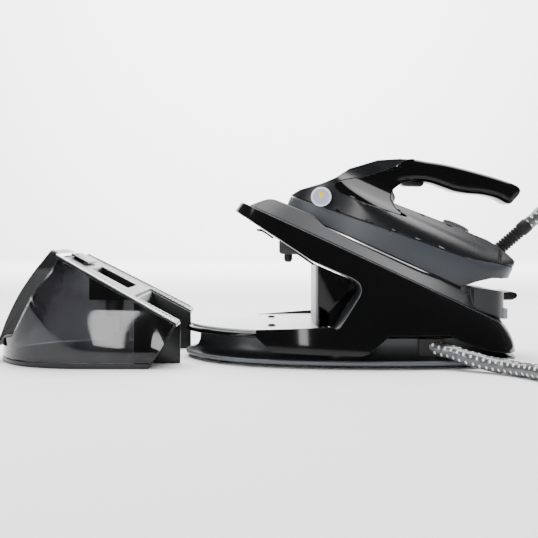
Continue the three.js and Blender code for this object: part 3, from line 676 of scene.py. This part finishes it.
TRAY_TOP = [(-40, 170), (-23, 178), (1.7, 187), (52, 165), (61.5, 153.5), (82.4, 141.5), (166.7, 101.8),
            (200.5, 89.5), (262, 80), (270.5, 52), (271, 38)]
TRAY_SIDE = rounded(TRAY_TOP, 9)[6:-6] + [(271, 38), (271, 20), (-40, 130)]
REAR = [(226, 62), (226, 85.5), (262, 80), (268.5, 76), (270.5, 56), (268.5, 47)]
rear = meet(plan(plan_loop(TOP_HALF, 1.2), 40, 90), side(rounded(REAR, 3), -80, 80))
above = join(meet(station_form(0.6, 12, 30), across_station(TRAY_SIDE)), rear)
above = cut(above, station_form(-6, 6, 0.3))
hollow = meet(plan(plan_loop(SKIRT_HALF, -6), -8.8, 80), block(-30, 229, -90, 90, -20, 100))
hollow.data.transform(IRON_M)
tray = cut(above, hollow, block(258, 300, -24.8, 24.8, 61, 100), block(254, 300, -64.4, -56.6, 48.6, 61.4))
settle(tray, "iron_tray", slate, "station", ["tray"], radius=0.8, merge=0.4)

# ---- iron ----
LEVELS = list(np.linspace(-10, 20, 7)) + list(np.linspace(23, 96, 34)) + list(np.linspace(100, 150, 12))


def iron_form(inset=0.0, k=6.0):
    return pressed_form(SKIRT_HALF, IRON_SECTION, LEVELS, inset, k)


SOLE = [(-5, 2.2), (-4.7, 1.0), (-4, 0.2), (-3.2, 0), (-1.9, 0), (-1.3, 0.6)]
settle(layered(SOLE_HALF, SOLE), "soleplate_face", sole_metal, "iron", ["soleplate"], IRON_M,
       radius=0)
SKIRT_SIDE = [(-3, -0.9), (218, -0.9), (233.5, 12.8), (247.3, 22.8), (277, 34.9), (277, 47), (265, 44.4),
              (205, 30), (137, 25), (47, 17.6), (13, 16), (-3, 15.4)]
skirt = cut(meet(iron_form(), across_iron(SKIRT_SIDE)),
            meet(plan(plan_loop(SOLE_HALF, 5.5), -10, 60),
                 across_iron([(0, -9), (215, -9), (236, 19), (236, 50), (0, 50)])))
settle(skirt, "iron_skirt", skirt_slate, "iron", ["skirt"], IRON_M, radius=0.7, merge=0.35)
TOP_SIDE = [(0, 16.4), (13.3, 16.9), (47, 18.6), (137, 25.9), (205, 30.8), (247, 41), (247, 60.4),
            (230.9, 62.9), (180.4, 61), (127.2, 57.3), (113, 56.4), (106, 75), (112, 113.4), (98.5, 108),
            (76.3, 96.1), (50.2, 73.1), (38.7, 54.5), (27.4, 42.6), (8, 27)]
HANDLE = [(42, 47), (47, 55), (68.7, 70.5), (83.3, 82.7), (100, 99), (110, 113), (132, 120), (154.3, 126.1),
          (188.2, 132.3), (222.6, 137.1), (241, 137.4), (246.5, 132), (244.3, 122.1), (239.7, 113.7),
          (224.2, 113.9), (207.2, 110.8), (189.8, 104.7), (175.1, 100.8), (162.7, 99.7), (140.3, 96.8),
          (117.5, 86.4), (110.5, 77.6), (106.7, 69.6), (106.8, 61.3), (110, 56.5), (118, 50), (131, 47),
          (100, 43), (70, 40.5), (50, 41.5)]
HANDLE_LINE = closed_spline(HANDLE, 5)
ABOVE = [(118, 62), (126, 60), (250, 66), (250, 150), (113, 150), (112, 113)]


def swollen(outline, by):
    """An outline grown outwards all round."""
    p = np.array(outline, float)
    t = np.roll(p, -1, axis=0) - np.roll(p, 1, axis=0)
    t /= np.linalg.norm(t, axis=1)[:, None]
    area2 = float(np.sum(p[:, 0] * np.roll(p[:, 1], -1) - np.roll(p[:, 0], -1) * p[:, 1]))
    return [tuple(q) for q in p + np.stack([t[:, 1], -t[:, 0]], axis=1) * (by if area2 > 0 else -by)]


upper = cut(meet(iron_form(), across_iron(TOP_SIDE)), across_iron(swollen(HANDLE_LINE, 0.2)),
            across_iron(ABOVE))
settle(upper, "iron_upper", upper_slate, "iron", ["upper_body"], IRON_M, radius=0.8,
       merge=0.35)
HEEL = [(247.3, 41.6), (265, 45.4), (277, 48.4), (272, 49.5), (259.6, 56.5), (247.3, 60.2)]
heel = meet(iron_form(), across_iron(HEEL))
settle(heel, "iron_heel", slate, "iron", ["heel_cover"], IRON_M, radius=0.8, merge=0.35)
GRIP = closed_spline([(84, 84)] + HANDLE[4:24] + [(107, 62), (100, 66)], 5)
grip = pillow(GRIP, -17.2, 17.2, 7)
POCKET = [(112.6, 78), (118, 78), (139.6, 87), (140.4, 94), (137.6, 104.4), (113.6, 95.4), (111.6, 86)]
root_flare = meet(iron_form(0.3), across_iron(HANDLE_LINE),
                  across_iron([(30, 20), (124, 20), (124, 96), (104, 140), (30, 140)]))
handle = cut(join(grip, root_flare), side(POCKET, -8.4, 8.4))
settle(handle, "iron_handle", gloss, "iron", ["handle"], IRON_M, radius=0.6, merge=0.3)

# ---- tank ----
TANK_LEVELS = list(np.linspace(-1, 136, 36))


def tank_form(inset=0.0):
    return pressed_form(TANK_HALF, TANK_SECTION, TANK_LEVELS, inset, 7.0)


def notch(grow):
    return block(158 - grow, 260, -64 - grow, 64 + grow, -5, 200)


base = cut(meet(tank_form(), across_tank([(-10, 0), (180, 0), (183.6, 5.6), (-10, 5.6)])), notch(0))
settle(base, "tank_base_form", satin_black, "tank", ["tank_base"], TANK_M, radius=0.8,
       merge=0.35)
SHELL_LINE = [(1.5, 6), (3, 16), (10, 27), (24.8, 30.5), (39, 55), (53.5, 80), (70, 103.5),
              (77, tank_top(77) - 2.4), (210.6, tank_top(210.6) - 2.4), (184.2, 6)]
SHELL_IN = [(5, 4), (6, 14), (13, 25), (27, 29), (41, 53.5), (55.7, 78.6), (72, 102), (78, 140), (195, 140),
            (207.6, 46.8), (182, 4)]
FRONT = [tuple(q) for q in spline(SHELL_LINE[3:7], 18)]
shell = cut(meet(tank_form(0.5), across_tank(SHELL_LINE[:3] + FRONT + SHELL_LINE[7:])),
            meet(tank_form(3), across_tank(SHELL_IN)), notch(0))
settle(shell, "tank_window", shell_clear, "tank", ["tank_shell"], TANK_M, radius=0.5,
       merge=0.4)
HANDLE_OUT = [(-1.5, 16), (3.7, 27), (12.2, 49.1), (25.2, 75.5), (39.6, 97.6), (54, 118.2), (59, 126.6)]
HANDLE_IN = [(73, 119.9), (75.4, 114.6), (71.9, 108.2), (68.6, 109.2), (44.4, 79.3), (31, 55), (22.5, 33.5),
             (8.4, 28.6), (0.5, 16.4)]
ARCH = rounded([(-50, -5), (50, -5), (50, 104), (38, 128), (-38, 128), (-50, 104)], 8)
GRIP_SIDE = ([tuple(q) for q in spline(HANDLE_OUT, 30)] + [(66, 124)] + HANDLE_IN[:3]
             + [tuple(q) for q in spline(HANDLE_IN[3:], 24)])
arch = meet(side(GRIP_SIDE, -60, 60), section(ARCH, -20, 100))
settle(arch, "tank_grip", satin_black, "tank", ["tank_handle"], TANK_M, radius=1.6,
       merge=0.3, segments=3)

# ---- iron details ----
def turned(profile, at_point, along, steps=40):
    """A turned solid: (radius, height) points from one end of its axis to the other."""
    z = Vector(along).normalized()
    q = Vector((0, 0, 1)).rotation_difference(z)
    turn = [2 * math.pi * k / steps for k in range(steps)]
    rings = []
    for r, h in profile:
        reach = max(r, 0.01)
        rings.append([tuple(Vector(at_point) + q @ Vector((reach * math.cos(a), reach * math.sin(a), h)))
                      for a in turn])
    return stack(rings)


BADGE_AT, BADGE_DIR = (33, -43.5, 27), (-0.2, -0.97, 0.2)
badge = turned([(10.4, 0), (11.6, 0.3), (11.6, 0.9), (11.2, 1.2), (9.7, 1.25), (9.6, 0.9), (0, 0.9)],
               BADGE_AT, BADGE_DIR, 64)
settle(badge, "badge_ring", white_plastic, "iron", ["badge"], IRON_M, radius=0, merge=0.01)
fill = turned([(9.55, 0.5), (9.5, 1.0), (0, 1.0)], BADGE_AT, BADGE_DIR, 64)
settle(fill, "badge_face", badge_fill, "iron", [], IRON_M, radius=0, merge=0.01)
drop = []
for k in range(40):
    a = 2 * math.pi * k / 40
    r = 3.1 * (1 - 0.45 * math.sin(a))
    drop.append((r * math.cos(a) * 0.95, -1.6 + (r * math.sin(a) * 0.9 + (3.4 * max(0, math.sin(a)) ** 3))))
mark = stack([[(x, z, h) for x, z in drop] for h in (0.6, 1.2)])
badge_turn = Vector((0, 0, 1)).rotation_difference(Vector(BADGE_DIR)).to_matrix().to_4x4()
upside_down = Matrix.Rotation(math.radians(180), 4, "Z")
mark.data.transform(Matrix.Translation(BADGE_AT) @ badge_turn @ upside_down)
settle(mark, "badge_droplet", badge_mark, "iron", [], IRON_M, radius=0.1, merge=0.01)

BOOT_AT, BOOT_DIR = (253, 0, 58.7), (math.cos(math.radians(65.5)), 0, math.sin(math.radians(65.5)))
ribs = [(8.6, -2), (8.8, 0), (8.8, 4.4), (8.4, 5), (6.7, 5.4)]
for k in range(8):
    z = 6.6 + k * 3.9
    ribs += [(6.6, z), (7.7, z + 0.3), (8.1, z + 0.8), (8.1, z + 1.7), (7.7, z + 2.2), (6.6, z + 2.5)]
ribs += [(7.2, 38.2), (8.4, 39.2), (8.6, 40.2), (8.6, 49.4), (8.2, 50.2), (7.9, 50.4)]
boot = turned(ribs, [c - d * 1.5 for c, d in zip(BOOT_AT, BOOT_DIR)], BOOT_DIR, 48)
settle(boot, "hose_boot_ribbed", rubber, "iron", ["hose_boot"], IRON_M, radius=0,
       degrees=50, merge=0.01)
DIAL_AT = (196, 0, 60.4)
dial = [(9, 0), (9, 2.2), (15.6, 2.5), (16, 3), (16, 5.4), (15.4, 6.4), (14.2, 7.1), (12, 7.3), (0, 7.3)]
settle(turned(dial, DIAL_AT, (0, 0, 1), 64), "dial_cap", mid_grey, "dial",
       ["temperature_dial"], IRON_M, radius=0, degrees=40, merge=0.01)
for k in range(36):
    a = 2 * math.pi * k / 36
    rib = block(15.2, 16.3, -0.5, 0.5, 3.0, 6.3)
    rib.data.transform(Matrix.Translation(DIAL_AT) @ Matrix.Rotation(a, 4, "Z"))
    rib.name = "rib"
    dial_ribs = join(dial_ribs, rib) if k else rib
settle(dial_ribs, "dial_ribs", satin_black, "dial", [], IRON_M, radius=0.2, merge=0.01)
DOT_R = 21
for k in range(5):
    a = math.radians(180 - 50 + 25 * k)
    dot = turned([(0.7, 0), (0.7, 0.5), (0.5, 0.7), (0, 0.7)],
                 (DIAL_AT[0] + DOT_R * math.cos(a), DOT_R * math.sin(a), 61.7 + 0.04 * DOT_R * math.cos(a)),
                 (0, 0, 1), 16)
    settle(dot, "dial_dot_%d" % (k + 1), white_plastic, "iron", [], IRON_M, radius=0,
           merge=0.01)


def strand(name, points, radius, material, body, sides, count):
    """A thin round line along a path."""
    path = catmull(points, count)
    mesh = tube_mesh(name, path, lambda i, a: radius, sides)
    obj = new_object(name, mesh, material)
    smooth(obj, 60)
    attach(obj, body)


# ---- tank details ----
trim = cut(meet(tank_form(0.3),
                across_tank([(74, tank_top(74) + 0.3), (207, tank_top(207) + 0.3),
                             (207, tank_top(207) + 1.7), (74, tank_top(74) + 1.7)])),
           meet(tank_form(4), block(78.6, 300, -120, 120, 0, 200)))
settle(trim, "tank_bright_trim", chrome, "tank", ["tank_trim"], TANK_M, radius=0.3, merge=0.2)
cover = meet(tank_form(1),
             across_tank([(74, tank_top(74)), (209.6, tank_top(209.6)), (209.6, tank_top(209.6) - 2.2),
                          (74, tank_top(74) - 2.2)]))
well_wall = meet(block(101.8, 148.2, -33.2, 33.2, 68, 150),
                 across_tank([(60, 20), (60, tank_top(60) - 1), (204, tank_top(204) - 1), (204, 20)]))
cover = cut(join(cover, well_wall), block(104, 146, -31, 31, 70.2, 150), notch(0),
            block(80.2, 94.4, -21.4, 21.4, 90, 150),
            turned([(5.4, 0), (5.4, 30)], (125, 0, 50), (0, 0, 1), 32))
settle(cover, "tank_top_cover", satin_black, "tank", ["tank_cover"], TANK_M, radius=0.6,
       merge=0.3)
RIB_FIRST, RIB_STEP, RIB_WIDE = 152.5, 3.9, 1.7
for k in range(2, 13):
    a = RIB_FIRST + RIB_STEP * k
    for s, (b0, b1) in (("near", (-84 + 0.16 * (a - 150), -67)), ("far", (67, 84 - 0.16 * (a - 150)))):
        low, high = tank_top(a), tank_top(a + RIB_WIDE)
        rib = side([(a, low - 1), (a + RIB_WIDE, high - 1), (a + RIB_WIDE, high + 0.9), (a, low + 0.9)],
                   b0, b1)
        settle(rib, "tank_rib_%s_%d" % (s, k), satin_black, "tank", [], TANK_M, radius=0.3,
               merge=0.01)

# ---- seals, and thin grey lines laid on the casing as painted highlights of its edges ----
gasket = cut(layered(SKIRT_HALF, [(-8.6, -3.5), (-4.8, -3.5), (-4.3, -2.6)]),
             plan(plan_loop(SKIRT_HALF, 1.5), -10, 0), block(226, 300, -90, 90, -20, 20))
settle(gasket, "rest_gasket", rubber, "station", [], IRON_M, radius=0, merge=0.05)
seal = cut(layered(SKIRT_HALF, [(-1.0, 3.0), (-4.7, 2.4), (-4.7, 6.0), (-1.0, 6.4)]),
           plan(plan_loop(SOLE_HALF, -0.4), -10, 5))
seal = cut(seal, block(219, 300, -90, 90, -20, 20))
settle(seal, "skirt_seal", rubber, "iron", [], IRON_M, radius=0, merge=0.05)


def on_surface(names, points, sign):
    """Points of the side view carried onto the outside of the named pieces."""
    found = []
    for x, z in points:
        best = None
        for name in names:
            obj = bpy.data.objects[name]
            start = at(x, 200 * sign, z)
            hit, where, _, _ = obj.ray_cast(obj.matrix_world.inverted() @ start, Vector((0, -sign, 0)))
            if hit:
                w = obj.matrix_world @ where
                if best is None or w.y * sign > best.y * sign:
                    best = w
        if best is not None:
            found.append((best.x * 1000 + ORIGIN_X, best.y * 1000, best.z * 1000))
    return found


bpy.context.view_layer.update()
# Thin grey tubes laid on the gloss casing along the bay edge and under the seam are painted highlights: they
# stand in for the light these edges catch.
EDGE = [(q[0] + 0.9, q[1] + 0.55) for q in rounded(BAY_EDGE, 6)[9:-4]]
edge_line = [tuple(q) for q in catmull(EDGE, 60)]
for half, sign in (("near", -1), ("far", 1)):
    line = on_surface(["casing_shell_" + half], edge_line, sign)
    strand("bay_edge_painted_highlight_" + half, line, 0.24, mid_grey, "station", 8, 120)
    # a grey line just under the seam: a painted highlight of the seam's edge
    line = on_surface(["casing_shell_" + half], [(x, seam(x) - 1.0) for x in range(-24, 262, 6)], sign)
    strand("seam_painted_highlight_" + half, line, 0.2, mid_grey, "station", 8, 160)

WAIST = [(8, 14.5), (47, 16.4), (137, 23.8), (205, 28.8), (265, 43.2), (276, 46), (265, 46.6), (247, 42.4),
         (205, 32), (137, 27), (47, 19.7), (8, 17.9)]
settle(meet(iron_form(0.9), across_iron(WAIST)), "waist_seal", rubber, "iron", [], IRON_M,
       radius=0, merge=0.1)


# ---- pieces that carry their solid's own shape, with rounded edges ----
def fine(node, material, body, slot_name, radius):
    """The solid's own mesh, with its flat faces joined and its edges rounded."""
    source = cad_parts[node]
    mesh = source.data.copy()
    mesh.transform(source.matrix_world)
    mesh.materials.clear()
    bm = bmesh.new()
    bm.from_mesh(mesh)
    bmesh.ops.remove_doubles(bm, verts=bm.verts, dist=2e-6)
    bmesh.ops.dissolve_limit(bm, angle_limit=math.radians(0.6), verts=bm.verts, edges=bm.edges)
    bm.to_mesh(mesh)
    bm.free()
    obj = new_object(node + "_form", mesh, material)
    bevel(obj, radius, 2, 28)
    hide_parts(node)
    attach(obj, body)


# node, material, body, slot, edge radius
PLAIN = [
    ("foot_1", rubber, "station", "black_rubber", 0.8),
    ("foot_2", rubber, "station", "black_rubber", 0.8),
    ("foot_3", rubber, "station", "black_rubber", 0.8),
    ("foot_4", rubber, "station", "black_rubber", 0.8),
    ("deck_stud_1", rubber, "station", "black_rubber", 0.5),
    ("deck_stud_2", rubber, "station", "black_rubber", 0.5),
    ("bay_liner", slate, "station", "slate_plastic", 0.4),
    ("pillar", gloss, "station", "gloss_black", 1.5),
    ("pillar_front", pale_grey, "station", "grey_plastic", 0.6),
    ("coupling_block", satin_black, "station", "slate_plastic", 1.0),
    ("intake_spout", rubber, "station", "black_rubber", 0.4),
    ("rest_plate", beige_metal, "station", "steel", 0.3),
    ("rest_pad_1", rubber, "station", "black_rubber", 0.3),
    ("rest_pad_2", rubber, "station", "black_rubber", 0.3),
    ("rest_pad_3", rubber, "station", "black_rubber", 0.3),
    ("lever_pin", steel, "station", "steel", 0.2),
    ("boiler", steel, "station", "steel", 0.5),
    ("boiler_thermostat", brass, "station", "brass", 0.3),
    ("pump", satin_black, "station", "gloss_black", 0.6),
    ("steam_valve", brass, "station", "brass", 0.4),
    ("steam_pipe", steel, "station", "steel", 0.2),
    ("circuit_board", board_green, "station", "board", 0.2),
    ("hose_outlet", rubber, "station", "black_rubber", 1.0),
    ("mains_inlet", rubber, "station", "black_rubber", 0.6),
    ("tank_latch", satin_black, "latch", "gloss_black", 0.8),
    ("lock_lever", satin_black, "lever", "gloss_black", 1.2),
    ("power_key", pale_grey, "key", "grey_plastic", 0.8),
    ("heater_casting", steel, "iron", "steel", 0.5),
    ("iron_lamp", lens_clear, "iron", "clear_lens", 0.3),
    ("steam_trigger", satin_black, "trigger", "gloss_black", 1.0),
    ("tank_notch_liner", satin_black, "tank", "gloss_black", 0.4),
    ("valve_cage", steel, "tank", "steel", 0.2),
    ("float_rod", steel, "tank", "steel", 0.2),
    ("filler_lid", satin_black, "lid", "gloss_black", 0.8),
    ("valve_plunger", satin_black, "plunger", "gloss_black", 0.3),
    ("float", white_plastic, "float", "white_plate", 0.4),
]

for node, material, body, slot_name, radius in PLAIN:
    fine(node, material, body, slot_name, radius)
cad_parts["valve_spring"].data.materials.clear()
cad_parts["valve_spring"].data.materials.append(steel)
